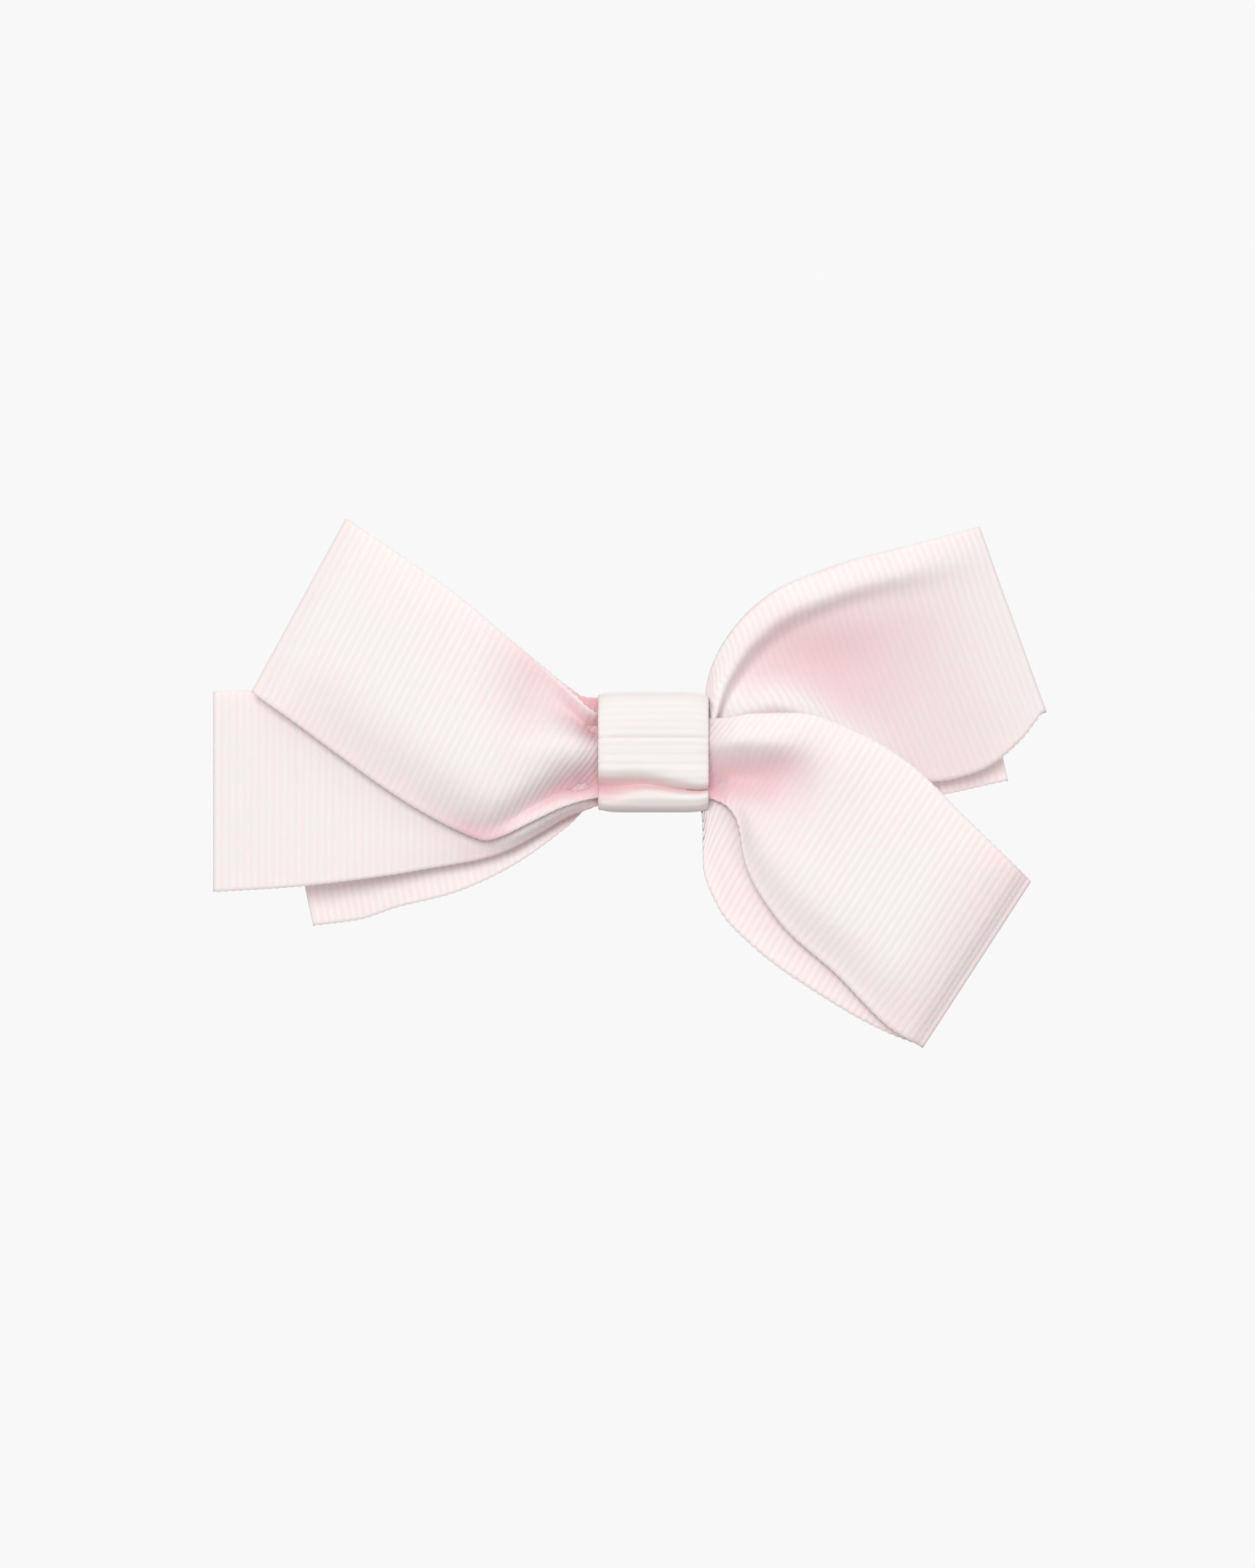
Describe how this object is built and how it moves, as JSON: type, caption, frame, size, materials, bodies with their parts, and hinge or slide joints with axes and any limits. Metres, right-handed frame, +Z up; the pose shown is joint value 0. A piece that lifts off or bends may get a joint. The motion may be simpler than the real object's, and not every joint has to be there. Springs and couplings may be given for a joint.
{
  "type": "hair bow clip",
  "caption": "Hair bow of two crossed ribbon loops and a tail strip gathered under a wrapped knot, on a sprung lined alligator clip.",
  "frame": {"origin": "on the inner face of the clip's front jaw, at mid height, behind the middle of the knot", "axes": "-Y is the front of the bow, +Y the side that lies on the head, +Z up, +X from the clip's mouth to its lever"},
  "size_m": [0.092, 0.0208, 0.0584],
  "materials": {
    "ribbon": "pale pink grosgrain, matt with a faint sheen",
    "thread": "off-white polyester thread",
    "glue": "set hot-melt glue",
    "clip_steel": "bright nickel plate on pressed steel",
    "spring_steel": "drawn spring wire"
  },
  "bodies": {
    "bow": {"front_loops": "ribbon", "rear_loops": "ribbon", "tails": "ribbon", "knot": "ribbon", "gather_thread": "thread", "glue_pad": "glue", "clip_lining": "ribbon", "front_jaw": "clip_steel", "hinge_pin": "clip_steel", "torsion_spring": "spring_steel"},
    "jaw": {"back_jaw": "clip_steel"}
  },
  "joints": [
    {"name": "clip_open", "type": "hinge", "parent": "bow", "child": "jaw", "pos_m": [0.01, 0.0026, 0], "axis": [0, 0, -1], "range_deg": [0, 35], "stiffness_Nm_per_rad": 0.03, "springref_deg": -114.59, "deforming": ["torsion_spring"]}
  ]
}
